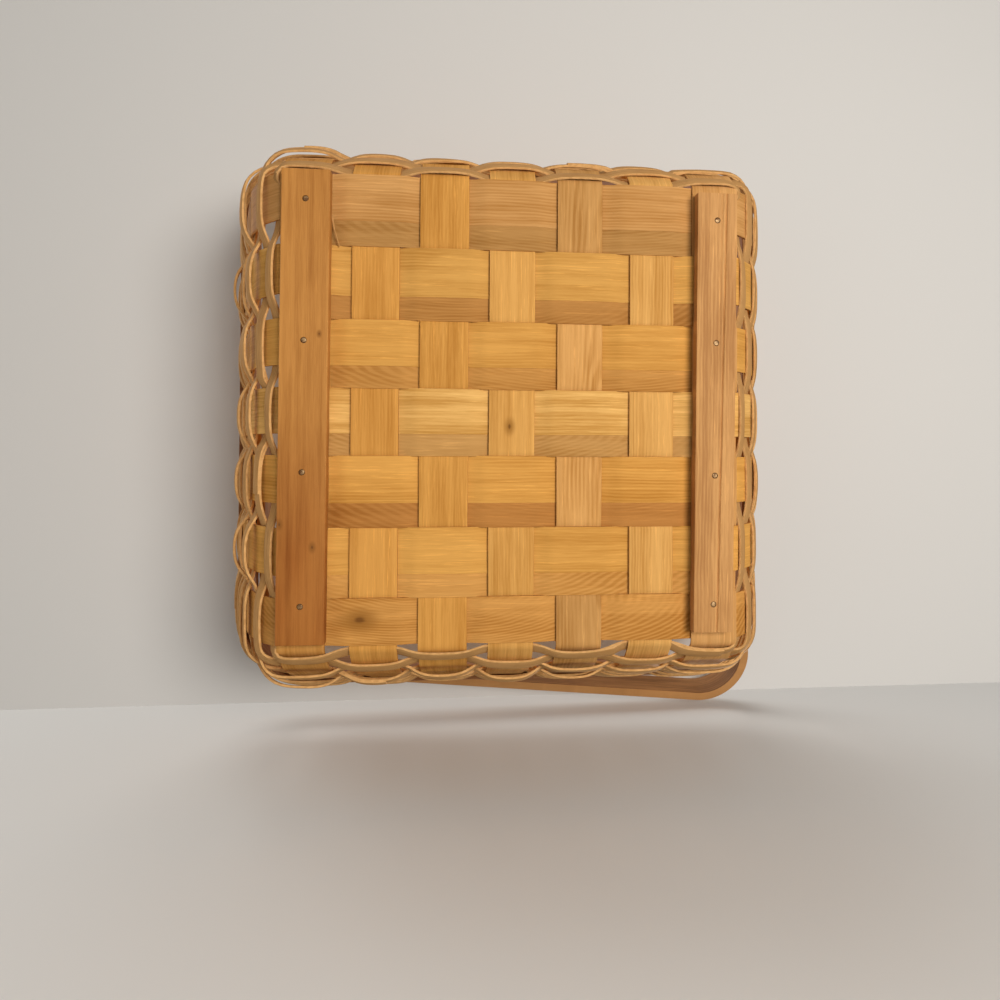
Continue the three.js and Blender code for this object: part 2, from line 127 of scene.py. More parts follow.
def rounded_path(corners):
    """Points through corners, given as (x, y, radius), each turned with its own radius."""
    points = []
    for i, (x, y, radius) in enumerate(corners):
        at = Vector((x, y))
        if radius == 0:
            points.append(at)
            continue
        back = (Vector(corners[i - 1][:2]) - at).normalized()
        ahead = (Vector(corners[i + 1][:2]) - at).normalized()
        half = back.angle(ahead) / 2
        centre = at + (back + ahead).normalized() * radius / math.sin(half)
        start = at + back * radius / math.tan(half) - centre
        turn = math.copysign(math.pi - 2 * half, -back.cross(ahead))
        steps = max(6, round(abs(turn) * 12))
        for k in range(steps + 1):
            points.append(centre + Matrix.Rotation(turn * k / steps, 2) @ start)
    return points


def even_path(points, step):
    """The same path with its points an even step apart."""
    points = np.array(points, float)
    lengths = np.r_[0, np.cumsum(np.linalg.norm(np.diff(points, axis=0), axis=1))]
    count = max(2, round(lengths[-1] / step))
    wanted = np.linspace(0, lengths[-1], count + 1)
    return np.stack([np.interp(wanted, lengths, points[:, k]) for k in range(points.shape[1])], 1)


def ease(value):
    value = min(max(value, 0), 1)
    return value * value * (3 - 2 * value)


def weave_level(along, turns):
    """The height off the base's middle: turns are (place, width, level after it), from low to high."""
    level = 0
    for place, width, after in turns:
        share = ease((along - place) / width + 0.5)
        level += (after - level) * share
    return level * layer_step


def splint_path(turns, shift):
    """A splint from rim to rim in its own upright plane, as (along, height), woven through its turns."""
    corners = [(-half, level, radius) for half, level, radius in reversed(wall_outline())]
    path = even_path(rounded_path(corners + wall_outline(shift)), path_step)
    for point in path:
        point[1] += weave_level(point[0], turns)
    return path


def lay_strip(name, path, across, out, width, thickness, crown=0, rows=4, bevel=0.25 * mm, closed=False,
              half_widths=None):
    """A flat strip bent along a path: across and out point along its width and out of its face."""
    path = np.array(path, float)
    across = np.array(across, float)
    out = np.array(out, float)
    count = len(path)
    bpy.ops.object.select_all(action="DESELECT")
    bpy.ops.mesh.primitive_grid_add(x_subdivisions=count - 1, y_subdivisions=rows)
    piece = bpy.context.object
    piece.name = piece.data.name = name
    lengths = np.r_[0, np.cumsum(np.linalg.norm(np.diff(path, axis=0), axis=1))]
    lengths -= lengths[-1] / 2
    halves = np.full(count, width / 2) if half_widths is None else np.array(half_widths)
    shares = np.linspace(-1, 1, rows + 1)
    places = np.zeros((rows + 1, count, 3))
    for j, share in enumerate(shares):
        places[j] = path + across * (halves * share)[:, None] + out * crown * (1 - share * share)
    piece.data.vertices.foreach_set("co", places.astype(np.float32).ravel())
    corner_vertex = np.zeros(len(piece.data.loops), np.int32)
    piece.data.loops.foreach_get("vertex_index", corner_vertex)
    uv = np.stack([lengths[corner_vertex % count], shares[corner_vertex // count] * width / 2], 1)
    piece.data.uv_layers[0].data.foreach_set("uv", uv.astype(np.float32).ravel())
    piece.data.update()
    if closed:
        bpy.ops.object.mode_set(mode="EDIT")
        bpy.ops.mesh.select_all(action="SELECT")
        bpy.ops.mesh.remove_doubles(threshold=0.05 * mm)
        bpy.ops.object.mode_set(mode="OBJECT")
    solid = piece.modifiers.new("thickness", "SOLIDIFY")
    solid.thickness = thickness
    solid.offset = 0
    solid.use_even_offset = True
    solid.material_offset_rim = 1
    round_edges(piece, bevel)
    return piece


def face_ways(points, side):
    """The way a strip's face points at each point of its path, where its width points to the side."""
    tangents = np.gradient(np.array(points), axis=0)
    out = np.cross(tangents, np.array([side] * len(points)))
    return out / np.linalg.norm(out, axis=1)[:, None]


def round_edges(piece, width, segments=2):
    edges = piece.modifiers.new("edges", "BEVEL")
    edges.width = width
    edges.segments = segments
    edges.limit_method = "ANGLE"
    edges.angle_limit = math.radians(40)


def finish_piece(piece, node, materials, body="basket"):
    """Applies the modifiers, puts the place into the mesh, hands the piece to its body and hides its CAD
    node.

    The materials come first, since the thickness modifier gives the cut edges the second one.
    """
    bpy.ops.object.select_all(action="DESELECT")
    piece.select_set(True)
    bpy.context.view_layer.objects.active = piece
    piece.data.materials.clear()
    for material in materials:
        piece.data.materials.append(material)
    for modifier in list(piece.modifiers):
        bpy.ops.object.modifier_apply(modifier=modifier.name)
    bpy.ops.object.transform_apply(location=True, rotation=True, scale=True)
    bpy.ops.object.shade_smooth_by_angle(angle=math.radians(35))
    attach(piece, body)
    if node:
        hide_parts(node)
    return piece


def from_srgb(colour):
    return tuple(c / 12.92 if c <= 0.04045 else ((c + 0.055) / 1.055) ** 2.4 for c in colour) + (1,)


class Tree:
    """The nodes of one material, added one by one."""

    def __init__(self, name):
        self.material = bpy.data.materials.new(name)
        self.material.use_nodes = True
        self.nodes = self.material.node_tree.nodes
        self.links = self.material.node_tree.links
        self.shader = self.nodes["Principled BSDF"]
        self.shader.distribution = "GGX"

    def add(self, kind, sockets=None, **settings):
        node = self.nodes.new(kind)
        for key, value in settings.items():
            setattr(node, key, value)
        for key, value in (sockets or {}).items():
            self.put(node.inputs[key], value)
        return node

    def put(self, socket, value):
        if isinstance(value, bpy.types.NodeSocket):
            self.links.new(value, socket)
        else:
            socket.default_value = value

    def math(self, operation, *values):
        return self.add("ShaderNodeMath", dict(enumerate(values)), operation=operation).outputs[0]

    def point(self, x, y, z=0.0):
        return self.add("ShaderNodeCombineXYZ", {0: x, 1: y, 2: z}).outputs[0]

    def length(self, first, second):
        squares = [self.math("MULTIPLY", value, value) for value in (first, second)]
        return self.math("SQRT", self.math("ADD", *squares))

    def grain(self, along, across, lengthwise, crosswise, seed, detail, roughness=0.5):
        """Noise drawn out along the wood, with so many swings a metre each way."""
        u = self.math("MULTIPLY", along, lengthwise)
        v = self.math("MULTIPLY", across, crosswise)
        return self.noise(self.point(u, v, seed), detail=detail, roughness=roughness)

    def noise(self, vector, scale=1, detail=3, roughness=0.5):
        sockets = {"Vector": vector, "Scale": scale, "Detail": detail, "Roughness": roughness}
        return self.add("ShaderNodeTexNoise", sockets).outputs[0]

    def span(self, value, low, high, to_low=0, to_high=1):
        sockets = {0: value, 1: low, 2: high, 3: to_low, 4: to_high}
        return self.add("ShaderNodeMapRange", sockets, interpolation_type="SMOOTHSTEP").outputs[0]

    def mix(self, share, first, second, blend="MIX"):
        node = self.add("ShaderNodeMix", data_type="RGBA", blend_type=blend)
        for key, value in ((0, share), (6, first), (7, second)):
            self.put(node.inputs[key], value)
        return node.outputs[2]


ring_wander = 3.6 * mm
late_wood = 0.12
fleck_shine = 1.14
shaded_from, shaded_to = 45 * mm, 90 * mm
knot_stretch = 1.6
knot_shade = 0.86
knot_heart = (0.38, 0.22, 0.10)


def wood(name, pale, dark, seed, rings=0.45, heart=30 * mm, depth=4 * mm, tilt=0.03, pitch=1.5 * mm,
         streaks=0.4, knots=(), end_darkening=None, rough=0.5, relief=0.05 * mm, flecks=0.55,
         shaded_ends=0, gloss=0.02):
    """Wood with its grain along the strip. The growth rings are cut at a slant, so that they run
    straight where the heart lies far to the side and in arches where it lies within the width."""
    tree = Tree(name)
    uv = tree.add("ShaderNodeUVMap")
    place = tree.add("ShaderNodeSeparateXYZ", {0: uv.outputs[0]})
    along, across = place.outputs[0], place.outputs[1]
    fine = tree.grain(along, across, 70, 1700, seed, detail=5, roughness=0.7)
    band = tree.grain(along, across, 9, 330, seed + 9.0, detail=3)
    cloud = tree.grain(along, across, 16, 60, seed + 5.0, detail=2)
    wander = tree.grain(along, across, 22, 90, seed + 3.0, detail=2)
    aside = tree.math("SUBTRACT", across, heart)
    below = tree.math("ADD", tree.math("MULTIPLY", along, tilt), depth)
    radius = tree.math("ADD", tree.length(aside, below), tree.math("MULTIPLY", wander, ring_wander))
    ring = tree.math("FRACT", tree.math("DIVIDE", radius, pitch))
    late = tree.span(tree.math("ABSOLUTE", tree.math("SUBTRACT", ring, 0.5)), 0.5, late_wood)
    late = tree.math("MULTIPLY", tree.math("POWER", late, 2), tree.span(cloud, 0.3, 0.7, 0.1, 1))
    streak = tree.span(band, 0.25, 0.75, 0, streaks)
    tone = tree.math("ADD", streak, tree.span(fine, 0.3, 0.7, 0, 0.75 * streaks))
    tone = tree.math("ADD", tone, tree.math("MULTIPLY", late, rings))
    tone = tree.math("ADD", tone, tree.span(cloud, 0.35, 0.7, -0.04, 0.2))
    colour = tree.mix(tree.span(tone, -0.05, 1.3), from_srgb(pale), from_srgb(dark))
    fibre = tree.grain(along, across, 45, 1300, seed + 7.0, detail=4, roughness=0.7)
    fleck = tree.span(fibre, 0.54, 0.68, 0, flecks)
    fleck = tree.math("MULTIPLY", fleck, tree.span(cloud, 0.62, 0.42, 0.25, 1))
    colour = tree.mix(fleck, colour, from_srgb([min(1, c * fleck_shine) for c in pale]))
    # Painted shade: the colour darkens from shaded_from to shaded_to away from the strip's middle, towards
    # both ends.
    if shaded_ends:
        reach = tree.span(tree.math("ABSOLUTE", along), shaded_from, shaded_to, 1, 1 - shaded_ends)
        colour = tree.mix(1.0, colour, tree.point(reach, reach, reach), "MULTIPLY")
    # Darker towards one end: the colour is multiplied in patches by a darker colour, which fades in over
    # from_to.
    if end_darkening:
        patch = tree.grain(along, across, 14, 45, seed, detail=2)
        amount = tree.span(along, *end_darkening["from_to"])
        amount = tree.math("MULTIPLY", amount, tree.span(patch, 0.35, 0.65, 0.65, 1))
        amount = tree.math("MULTIPLY", amount, end_darkening["amount"])
        colour = tree.mix(amount, colour, from_srgb(end_darkening["colour"]), "MULTIPLY")
    for knot_along, knot_across, knot_radius in knots:
        u = tree.math("DIVIDE", tree.math("SUBTRACT", along, knot_along), knot_radius * knot_stretch)
        v = tree.math("DIVIDE", tree.math("SUBTRACT", across, knot_across), knot_radius)
        distance = tree.math("ADD", tree.length(u, v), tree.span(fine, 0, 1, -0.5, 0.5))
        halo = tree.span(distance, 4.5, 0.8, 0, 0.8)
        colour = tree.mix(halo, colour, from_srgb([c * knot_shade for c in dark]))
        colour = tree.mix(tree.span(distance, 1.2, 0.3, 0, 0.7), colour, from_srgb(knot_heart))
    tree.put(tree.shader.inputs["Base Color"], colour)
    tree.put(tree.shader.inputs["Roughness"], tree.span(fine, 0.2, 0.8, rough + 0.05, rough + 0.22))
    tree.shader.inputs["Specular IOR Level"].default_value = gloss
    height = tree.math("SUBTRACT", tree.math("MULTIPLY", fine, 0.8), tree.math("MULTIPLY", late, 0.5))
    bump = tree.add("ShaderNodeBump", {"Height": height, "Strength": 0.6, "Distance": relief})
    tree.put(tree.shader.inputs["Normal"], bump.outputs[0])
    return tree.material


def tones(red, green, blue):
    """A pale and a dark tone of the wood round its mean colour."""
    pale = (min(1, red * 1.05), min(1, green * 1.07), min(1, blue * 1.14))
    return pale, (red * 0.86, green * 0.80, blue * 0.68)


arched = {"rings": 0.55, "heart": 15 * mm, "depth": 12 * mm, "tilt": -0.28, "pitch": 1.15 * mm,
          "streaks": 0.4}
lined = {"rings": 0.5, "heart": 10 * mm, "depth": 4 * mm, "tilt": 0.08, "pitch": 1.8 * mm}

stake_looks = {
    1: (tones(0.77, 0.55, 0.28), {"rings": 0.2}),
    2: (tones(0.805, 0.57, 0.27), {"rings": 0.15}),
    3: (tones(0.80, 0.57, 0.27), {"rings": 0.15, "streaks": 0.5}),
    4: (tones(0.82, 0.603, 0.31), {"rings": 0.15, "knots": ((-6.0 * mm, -1.0 * mm, 0.8 * mm),)}),
    5: (tones(0.815, 0.60, 0.335), {**lined, "shaded_ends": 0.2}),
    6: (tones(0.825, 0.615, 0.33), {"rings": 0.3}),
    7: (tones(0.77, 0.57, 0.33), {"rings": 0.25}),
}


def woven_splint(name, turns, place, flat, upright, width, number, shift):
    """A woven splint laid in its plane: flat is its direction in the base and upright is up."""
    path = splint_path(turns, shift)
    side = upright.cross(flat)
    sway = [noise.noise(Vector((point[0] * 14, number * 3.7, 0))) * 0.2 * mm for point in path]
    points = [middle + place + flat * p[0] + upright * p[1] + side * s for p, s in zip(path, sway)]
    edge = [width / 2 * (1 + 0.012 * noise.noise(Vector((point[0] * 30, number * 5.1, 2)))) for point in path]
    return lay_strip(name, points, [side] * len(points), face_ways(points, side), width, splint_thickness,
                     crown=0.1 * mm, rows=5, half_widths=edge)


up = Vector((0, 0, 1))
cut_edge = wood("splint_edge", (0.80, 0.60, 0.36), (0.60, 0.39, 0.19), 40.0, rings=0.3, streaks=0.8,
                rough=0.6)

for number in range(1, crossings + 1):
    turns = [(-weave_end, cross_turn, 1 if (number + crossings) % 2 else -1)]
    for cross in range(crossings, 1, -1):
        after = 1 if (number + cross - 1) % 2 else -1
        turns.append((row_edge(cross, 1), stake_turn, after))
    turns.append((weave_end, cross_turn, 0))
    palette, look = stake_looks[number]
    piece = woven_splint(f"stake_{number}_wood", turns, Vector((splint_at(number, stake_fit), 0, 0)),
                         Vector((0, 1, 0)), up, stake_width + stake_fit[number][1] * mm, number,
                         foot_shift["back"])
    face = wood(f"stake_{number}_face", *palette, seed=number * 1.7, **look)
    finish_piece(piece, f"stake_{number}", [face, cut_edge])

# Cross splints: seven wide flat wood splints that lie along X and turn up into the other two walls.
# They are woven through the stakes, and the last one, at -Y, shows the widest arches of grain.

cross_looks = {
    1: (tones(0.77, 0.567, 0.325), {"rings": 0.3}),
    2: (tones(0.79, 0.58, 0.285), {"rings": 0.3}),
    3: (tones(0.805, 0.583, 0.28), {"rings": 0.2}),
    4: (tones(0.868, 0.668, 0.37), {"rings": 0.2, "streaks": 0.55}),
    5: (tones(0.82, 0.59, 0.28), {"rings": 0.3}),
    6: (tones(0.815, 0.592, 0.285), {"rings": 0.12}),
    7: (tones(0.775, 0.55, 0.275), {**arched, "knots": ((69.0 * mm, 1.0 * mm, 1.7 * mm),)}),
}


def over_stakes(number, start):
    """The turns of a cross splint from -X on: it passes every other stake above, and turns between them."""
    turns = [(start, cross_turn, -1 if (number + crossings) % 2 else 1)]
    for stake in range(crossings, 1, -1):
        after = -1 if (number + stake - 1) % 2 else 1
        between = (splint_at(stake, stake_fit) + splint_at(stake - 1, stake_fit)) / 2
        turns.append((between, cross_turn, after))
    return turns


for number in range(1, crossings + 1):
    turns = over_stakes(number, -weave_end) + [(weave_end, cross_turn, 0)]
    palette, look = cross_looks[number]
    piece = woven_splint(f"cross_splint_{number}_wood", turns, Vector((0, splint_at(number, cross_fit), 0)),
                         Vector((1, 0, 0)), up, cross_width + cross_fit[number][1] * mm, number + 20,
                         foot_shift["right"])
    face = wood(f"cross_splint_{number}_face", *palette, seed=30 + number * 1.3, **look)
    finish_piece(piece, f"cross_splint_{number}", [face, cut_edge])

# Fillers: six narrow strips of greyer wood that close the gaps between the cross splints.
# Each goes over and under the stakes as the cross splint beside it does, and ends under the outer stakes.

filler_tones = {
    1: tones(0.68, 0.497, 0.27),
    2: tones(0.685, 0.477, 0.24),
    3: tones(0.74, 0.524, 0.262),
    4: tones(0.735, 0.545, 0.30),
    5: tones(0.69, 0.464, 0.225),
    6: tones(0.79, 0.568, 0.29),
}
filler_ends = size_of("filler_1").x / 2
filler_lap = 0.5 * mm
filler_sink = 0.15 * mm

for number in range(1, crossings):
    path = even_path([(-filler_ends, base_level), (filler_ends, base_level)], path_step)
    turns = over_stakes(number, -filler_ends - cross_turn)
    y = (row_edge(number, -1) + row_edge(number + 1, 1)) / 2
    filler_width = row_edge(number, -1) - row_edge(number + 1, 1) + filler_lap
    points = []
    edges = []
    for along, level in path:
        sway = noise.noise(Vector((along * 16, number * 2.3, 5))) * 0.2 * mm
        points.append(middle + Vector((along, y + sway, level + filler_sink + weave_level(along, turns))))
        edges.append(filler_width / 2 * (1 + 0.02 * noise.noise(Vector((along * 25, number, 1)))))
    side = Vector((0, 1, 0))
    piece = lay_strip(f"filler_{number}_wood", points, [side] * len(points), face_ways(points, side),
                      filler_width, splint_thickness, crown=0.05 * mm, rows=3, half_widths=edges)
    pale, dark = filler_tones[number]
    face = wood(f"filler_{number}_face", pale, dark, 60 + number * 2.1, rings=0.4, heart=14 * mm,
                depth=9 * mm, tilt=0.24 if number % 2 else -0.3, pitch=1.4 * mm, streaks=0.35)
    finish_piece(piece, f"filler_{number}", [face, cut_edge])

# Weavers: twelve narrow strips of flat split reed woven round the walls, one row each.
# A strip starts over a splint, goes once round outside and inside in turn, and ends under its own start.

weaver_rows = sorted(name for name in frame["nodes"] if name.startswith("weaver_"))
reed_thickness = 1.15 * mm
reed_height = 6.3 * mm
bulge_out = 3.3 * mm
bulge_in = 2.1 * mm
lowest_rows_flatter = 0.8 * mm
swell_varies = 0.35
squareness = 1.5
corner_zone = base_edge
reed_step = 2.4 * mm
lap_length = 62 * mm
first_level = base_level + 2.3 * mm
tightest_corner = 6 * mm
reed_starts = [0, 9, 18, 5, 14, 25, 2, 11, 22, 7, 16, 27]
start_before_splint = 5 * mm
lap_fades = 12 * mm
lap_height = 1.3 * mm
small_step = 0.5 * mm
upright = math.radians(54)
lean_varies = math.radians(9)

# How far each wall's strands bulge, and, by (row, crossing), how many mm further a loose loop stands out
wall_swell = (1.0, 1.0, 0.7, 0.5)
loose_loops = {(4, 6): 2.4, (2, 12): 1.2, (6, 12): 3.6, (4, 10): 1.8, (5, 9): 2.6, (3, 11): 1.4, (2, 8): 1.6,
               (4, 8): 3.0, (3, 13): 2.0, (2, 14): 2.0, (4, 14): 2.6, (4, 2): 1.6, (3, 3): 1.8, (3, 5): 1.2,
               (2, 4): 1.0, (5, 21): 0.8, (3, 25): 0.8, (3, 15): 1.0}

wall_side = even_path(rounded_path([(0, base_level, 0)] + wall_outline()), small_step)
wall_slopes = np.unwrap(np.arctan2(*np.gradient(wall_side, axis=0).T[::-1]))


def wall_at(level):
    """How far out the wall's middle lies at a level, and how steeply it rises there."""
    at = np.searchsorted(wall_side[:, 1], level)
    return wall_side[at][0], wall_slopes[at]


def square_ring(half, corner_radius):
    """A round-cornered square of this half size, from the middle of the first splint of the -Y wall."""
    flat = half - corner_radius
    ring = [(-outer_splint, -half), (flat, -half)]
    for quarter in range(4):
        centre = Vector((flat, -flat))
        for step in range(13):
            angle = -math.pi / 2 + step / 12 * math.pi / 2
            point = centre + Vector((math.cos(angle), math.sin(angle))) * corner_radius
            ring.append((Matrix.Rotation(quarter * math.pi / 2, 2) @ point)[:])
    ring.append((-outer_splint, -half))
    return ring


def ring_crossings(half, corner_radius):
    """The lengths along the ring at which it passes the middle of each splint."""
    side = 2 * outer_splint
    corner = 2 * (half - corner_radius - outer_splint) + corner_radius * math.pi / 2
    return [wall * (side + corner) + index * splint_pitch
            for wall in range(4) for index in range(crossings)]


def on_ring(at, ring, lengths):
    """The point of a ring at this length along it."""
    return Vector((np.interp(at, lengths, ring[:, 0]), np.interp(at, lengths, ring[:, 1]), 0))


def reed_offset(at, places, total, row):
    """The weaver's distance outside the wall's middle, smoothly in and out between the splints."""
    over = 1 if row % 2 == 0 else -1
    index = max(k for k, place in enumerate(places) if place <= at)
    after = places[index + 1] if index + 1 < len(places) else total
    phase = index + (at - places[index]) / (after - places[index])
    swing_share = math.tanh(squareness * math.cos(math.pi * phase)) / math.tanh(squareness) * over
    nearest = round(phase) % len(places)
    swell = 1 + swell_varies * noise.noise(Vector((nearest * 1.7, row * 3.1, 0.5)))
    if swing_share < 0:
        return swing_share * bulge_in
    loop = loose_loops.get((row, nearest), 0) * mm
    bulge = bulge_out if row > 1 else bulge_out - lowest_rows_flatter
    bulge *= wall_swell[nearest // crossings]
    return swing_share * bulge * swell + loop * swing_share ** 2


reed = Tree("reed_face")
uv = reed.add("ShaderNodeUVMap")
place = reed.add("ShaderNodeSeparateXYZ", {0: uv.outputs[0]})
spot = reed.add("ShaderNodeTexCoord").outputs["Object"]
fibre = reed.grain(place.outputs[0], place.outputs[1], 55, 3000, 0.0, detail=4, roughness=0.65)
patch = reed.noise(spot, scale=38, detail=2)
shade = reed.noise(spot, scale=140, detail=2)
reed_colour = reed.mix(reed.span(fibre, 0.3, 0.7),
                       from_srgb((0.78, 0.595, 0.37)), from_srgb((0.65, 0.47, 0.27)))
reed_colour = reed.mix(reed.span(patch, 0.4, 0.65, 0, 0.5), reed_colour, from_srgb((0.74, 0.56, 0.35)))
reed_colour = reed.mix(reed.span(shade, 0.5, 0.75, 0, 0.35), reed_colour, from_srgb((0.62, 0.45, 0.28)))
reed.put(reed.shader.inputs["Base Color"], reed_colour)
reed.put(reed.shader.inputs["Roughness"], reed.span(fibre, 0.2, 0.8, 0.68, 0.85))
reed.shader.inputs["Specular IOR Level"].default_value = 0.02
reed_bump = reed.add("ShaderNodeBump", {"Height": fibre, "Strength": 0.7, "Distance": 0.12 * mm})
reed.put(reed.shader.inputs["Normal"], reed_bump.outputs[0])

reed_edge = Tree("reed_edge")
spot = reed_edge.add("ShaderNodeTexCoord").outputs["Object"]
grain = reed_edge.noise(spot, scale=420, detail=3)
edge_colour = reed_edge.mix(reed_edge.span(grain, 0.35, 0.7),
                            from_srgb((0.85, 0.665, 0.43)), from_srgb((0.77, 0.585, 0.36)))
reed_edge.put(reed_edge.shader.inputs["Base Color"], edge_colour)
reed_edge.shader.inputs["Roughness"].default_value = 0.7
reed_edge.shader.inputs["Specular IOR Level"].default_value = 0.02

for row, node in enumerate(weaver_rows):
    level = middle_of(node).z if row else first_level
    half, slope = wall_at(level)
    corner_radius = max(half - corner_zone, tightest_corner)
    places = ring_crossings(half, corner_radius)
    ring = np.array(square_ring(half, corner_radius))
    lengths = np.r_[0, np.cumsum(np.linalg.norm(np.diff(ring, axis=0), axis=1))]
    total = lengths[-1]
    start = places[reed_starts[row]] - start_before_splint
    count = round((total + lap_length) / reed_step)
    points = []
    ups = []
    outs = []
    for step in range(count + 1):
        passed = step * reed_step
        at = (start + passed) % total
        flat = on_ring(at, ring, lengths)
        flat_ahead = on_ring((at + small_step) % total, ring, lengths)
        outward = (flat_ahead - flat).normalized().cross(up)
        shift = foot_shift["right"] * max(0, outward.x) + foot_shift["back"] * max(0, outward.y)
        offset = reed_offset(at, places, total, row)
        lean = slope + max(0, upright - slope) * ease(offset / bulge_out / 2 + 0.5)
        lean += lean_varies * noise.noise(flat * 30 + Vector((0, 0, row * 2.3)))
        out = outward * math.sin(lean) - up * math.cos(lean)
        rise = outward * math.cos(lean) + up * math.sin(lean)
        on_top = ease((lap_length - passed) / lap_fades)
        near = 1 - min(1, abs(offset) / bulge_in)
        offset += on_top * (math.copysign(0.5, offset) * (1 - near) + 1.1 * near) * lap_height
        lift = 0.8 * noise.noise(flat * 22) + 0.35 * noise.noise(flat * 45 + Vector((0, 0, row * 5.1)))
        flat += outward * shift * foot_share(level)
        points.append(middle + flat + up * level + out * offset + rise * (lift * mm))
        ups.append(rise)
        outs.append(out)
    piece = lay_strip(f"{node}_reed", points, ups, outs, reed_height, reed_thickness, crown=0.15 * mm, rows=3)
    finish_piece(piece, node, [reed.material, reed_edge.material])

# Rims: an outer and an inner hoop of bent brown wood that clamp the ends of the splints.
# Each is one thick strip bent round the basket, smooth, with rounded edges.

rim_wood = wood("rim_face", (0.70, 0.50, 0.33), (0.52, 0.34, 0.20), 81.0, rings=0.5, heart=14 * mm,
                depth=3 * mm, tilt=0.01, pitch=1.9 * mm, streaks=0.7, rough=0.48, gloss=0.25)
rim_edge = wood("rim_edge", (0.72, 0.53, 0.36), (0.52, 0.35, 0.22), 84.0, rings=0.3, streaks=0.9, rough=0.55)
rim_thickness = {"outer_rim": 2.4 * mm, "inner_rim": 2.0 * mm}

for node, thickness in rim_thickness.items():
    half = size_of(node).x / 2 - thickness / 2
    level = middle_of(node).z
    ring = even_path(square_ring(half, half - corner_zone), 3 * mm)
    points = [middle + Vector((x, y, level)) for x, y in ring]
    tangents = np.gradient(np.array(points), axis=0)
    tangents[0] = tangents[-1] = tangents[0] + tangents[-1]
    out = np.cross(tangents, np.array([up] * len(points)))
    out /= np.linalg.norm(out, axis=1)[:, None]
    piece = lay_strip(f"{node}_wood", points, [up] * len(points), out, size_of(node).z, thickness,
                      rows=4, bevel=0.8 * mm, closed=True)
    finish_piece(piece, node, [rim_wood, rim_edge])

# Handle: one strip of tan wood bent to a square U. Its legs sit inside the rim on the two rivets,
# and it is laid down towards -Y, where its leg on the -X side spreads past the rim and is the longer.

leg_width = 19 * mm
leg_thickness = 5 * mm
pivot_level = swing["pos_m"][2]
leg_gap = 0.5 * mm
inner_half = size_of("inner_rim").x / 2 - rim_thickness["inner_rim"]
leg_middle = inner_half - leg_gap - leg_thickness / 2
handle_rest = math.pi / 2 - math.radians(swing["range_deg"][1]) / 2
reach_right = 152 * mm
reach_left = 182 * mm
spread = 34 * mm
leg_straight = 95 * mm
spread_margin = 10 * mm
past_rim = leg_straight / math.cos(handle_rest) + spread_margin
spread_radius = 70 * mm
handle_corner = 27 * mm
leg_end = leg_width / 2
narrowest_end = 1.5 * mm

handle_path = even_path(rounded_path([
    (leg_middle, -leg_end, 0),
    (leg_middle, reach_right - leg_thickness / 2, handle_corner),
    (-leg_middle - spread, reach_left - leg_thickness / 2, handle_corner),
    (-leg_middle, past_rim, spread_radius),
    (-leg_middle, -leg_end, 0),
]), 2 * mm)
away = Vector((0, -math.cos(handle_rest), math.sin(handle_rest)))
leg_across = Vector((0, math.sin(handle_rest), math.cos(handle_rest)))
points = [middle + Vector((x, 0, pivot_level)) + away * y for x, y in handle_path]
steps = np.linalg.norm(np.diff(np.array(points), axis=0), axis=1)
travelled = np.r_[0, np.cumsum(steps)]
from_end = np.minimum(travelled, travelled[-1] - travelled)
into_end = np.clip(leg_end - from_end, 0, None)
round_end = np.sqrt(np.clip(leg_end**2 - into_end**2, narrowest_end**2, None))
piece = lay_strip("handle_wood_strip", points, [leg_across] * len(points), face_ways(points, -leg_across),
                  leg_width, leg_thickness, rows=6, bevel=0.9 * mm, half_widths=round_end)
# Painted shade: the wide faces are painted a darker brown than the tan edges, as the shade on the handle's
# faces.
handle_face = wood("handle_face", (0.62, 0.435, 0.25), (0.44, 0.285, 0.14), 91.0, rings=0.4, heart=16 * mm,
                   depth=3 * mm, tilt=0.012, pitch=2.0 * mm, streaks=0.6, rough=0.45, gloss=0.2)
handle_edge = wood("handle_edge", (0.74, 0.54, 0.335), (0.66, 0.47, 0.28), 95.0, rings=0.2, streaks=0.45,
                   rough=0.5, flecks=0.3)
finish_piece(piece, "handle", [handle_face, handle_edge], body="handle")

# Rivets and washers: the two brass pivots of the handle, each through both rims and a leg.
# A domed head closes the rivet inside and outside, with a washer under the inner head.

brass = Tree("aged_brass")
spot = brass.add("ShaderNodeTexCoord").outputs["Object"]
tarnish = brass.noise(spot, scale=260, detail=4)
brass_colour = brass.mix(brass.span(tarnish, 0.35, 0.7),
                         from_srgb((0.74, 0.60, 0.34)), from_srgb((0.45, 0.33, 0.17)))
brass.put(brass.shader.inputs["Base Color"], brass_colour)
brass.put(brass.shader.inputs["Roughness"], brass.span(tarnish, 0.3, 0.7, 0.28, 0.5))
brass.shader.inputs["Metallic"].default_value = 1
rivet_sides = 40
rivet_shank = 2 * mm
rivet_head = 4.5 * mm
rivet_head_height = 1.6 * mm
rivet_dome = 1.4 * mm
washer_radius = 6 * mm
washer_thickness = 1.0 * mm
washer_bevel = 0.3 * mm


